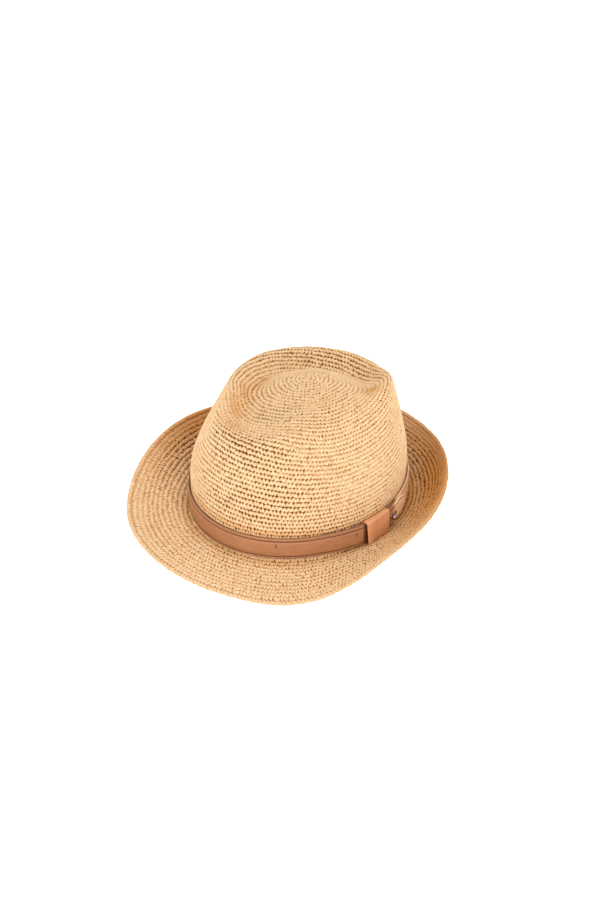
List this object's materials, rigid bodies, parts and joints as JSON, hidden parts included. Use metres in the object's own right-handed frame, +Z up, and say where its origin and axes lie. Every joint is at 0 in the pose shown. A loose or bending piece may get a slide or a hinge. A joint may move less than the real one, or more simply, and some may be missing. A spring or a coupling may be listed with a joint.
{
  "type": "trilby",
  "caption": "Crocheted raffia trilby with a pinched teardrop crown, a brim turned down in front, and a leather strap hatband with keeper and ball stud.",
  "frame": {"origin": "centre of the bounding box, on the table that the hat rests on", "axes": "+Z up, the hat's front looks along -Y, the wearer's left is +X"},
  "size_m": [0.2554, 0.2808, 0.1074],
  "materials": {
    "raffia": "crocheted raffia",
    "band_leather": "smooth tan leather",
    "keeper_leather": "ribbed tan leather",
    "stud_metal": "polished"
  },
  "bodies": {
    "root": {"hat_body": "raffia", "hatband": "band_leather", "keeper": "keeper_leather", "stud": "stud_metal"}
  },
  "joints": []
}
